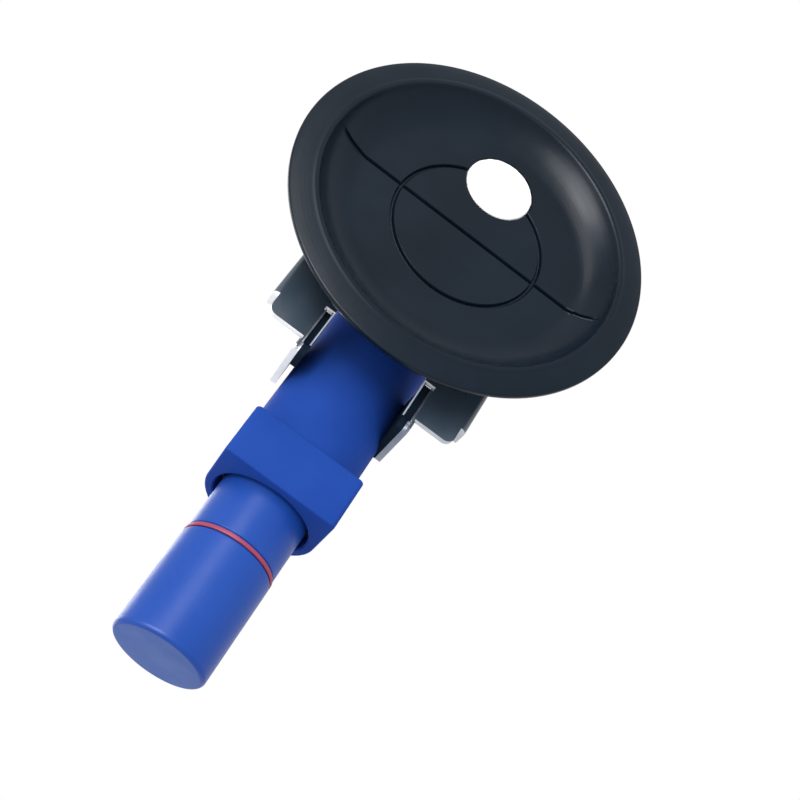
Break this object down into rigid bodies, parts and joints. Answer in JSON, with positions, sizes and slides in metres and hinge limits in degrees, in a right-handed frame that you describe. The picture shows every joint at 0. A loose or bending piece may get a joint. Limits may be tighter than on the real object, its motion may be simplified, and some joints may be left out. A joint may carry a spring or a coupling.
{
  "type": "suction cup lifter",
  "caption": "Hand-pump vacuum cup: round rubber suction pad on a folded steel bracket, with a plunger pump across its back and a red vacuum-indicator ring.",
  "frame": {"origin": "centre of the pad's sealing edge, on the plane that it seals against", "axes": "+X along the pump towards the plunger's end, +Y across the pad, +Z out of the pad's back towards the pump"},
  "size_m": [0.135, 0.075, 0.0374],
  "materials": {
    "black_rubber": "satin moulded rubber with fine lathe lines",
    "seal_rubber": "smooth",
    "white_felt": "dense felt",
    "black_plate": "black oxide sheet, bare at the cut edges",
    "cast_plate": "machined",
    "zinc_steel": "zinc plated",
    "brass_fitting": "turned",
    "blue_plastic": "satin moulded",
    "blue_knob": "satin gloss",
    "red_plastic": "satin",
    "white_plastic": "smooth, low friction",
    "black_plastic": "smooth",
    "spring_steel": "drawn wire"
  },
  "bodies": {
    "base": {"rubber_pad": "black_rubber", "filter_felt": "white_felt", "port_ferrule": "brass_fitting", "backing_plate": "cast_plate", "port_seal": "seal_rubber", "saddle_bracket": "black_plate", "bracket_screws": "zinc_steel", "foot_screws": "zinc_steel", "pump_barrel": "blue_plastic", "rear_plug": "blue_plastic", "plug_seal": "seal_rubber", "rear_screw": "zinc_steel", "plug_washer": "zinc_steel", "front_collar": "blue_plastic", "guide_bush": "black_plastic", "return_spring": "spring_steel"},
    "plunger": {"plunger_sleeve": "blue_knob", "indicator_ring": "red_plastic", "plunger_cap": "blue_knob", "piston_head": "black_plastic", "piston_seal": "seal_rubber", "valve_cage": "white_plastic"},
    "intake_valve": {"intake_valve": "seal_rubber"},
    "exhaust_valve": {"exhaust_valve": "seal_rubber"}
  },
  "joints": [
    {"name": "plunger_slide", "type": "slide", "parent": "base", "child": "plunger", "axis": [-1, 0, 0], "range_m": [0, 0.025], "stiffness_N_per_m": 600, "springref_m": -0.004, "deforming": ["return_spring"]},
    {"name": "intake_lift", "type": "slide", "parent": "base", "child": "intake_valve", "axis": [0, 0, 1], "range_m": [0, 0.0008], "stiffness_N_per_m": 20, "springref_m": -0.0005},
    {"name": "exhaust_lift", "type": "slide", "parent": "plunger", "child": "exhaust_valve", "axis": [1, 0, 0], "range_m": [0, 0.0008], "stiffness_N_per_m": 20, "springref_m": -0.0005}
  ]
}
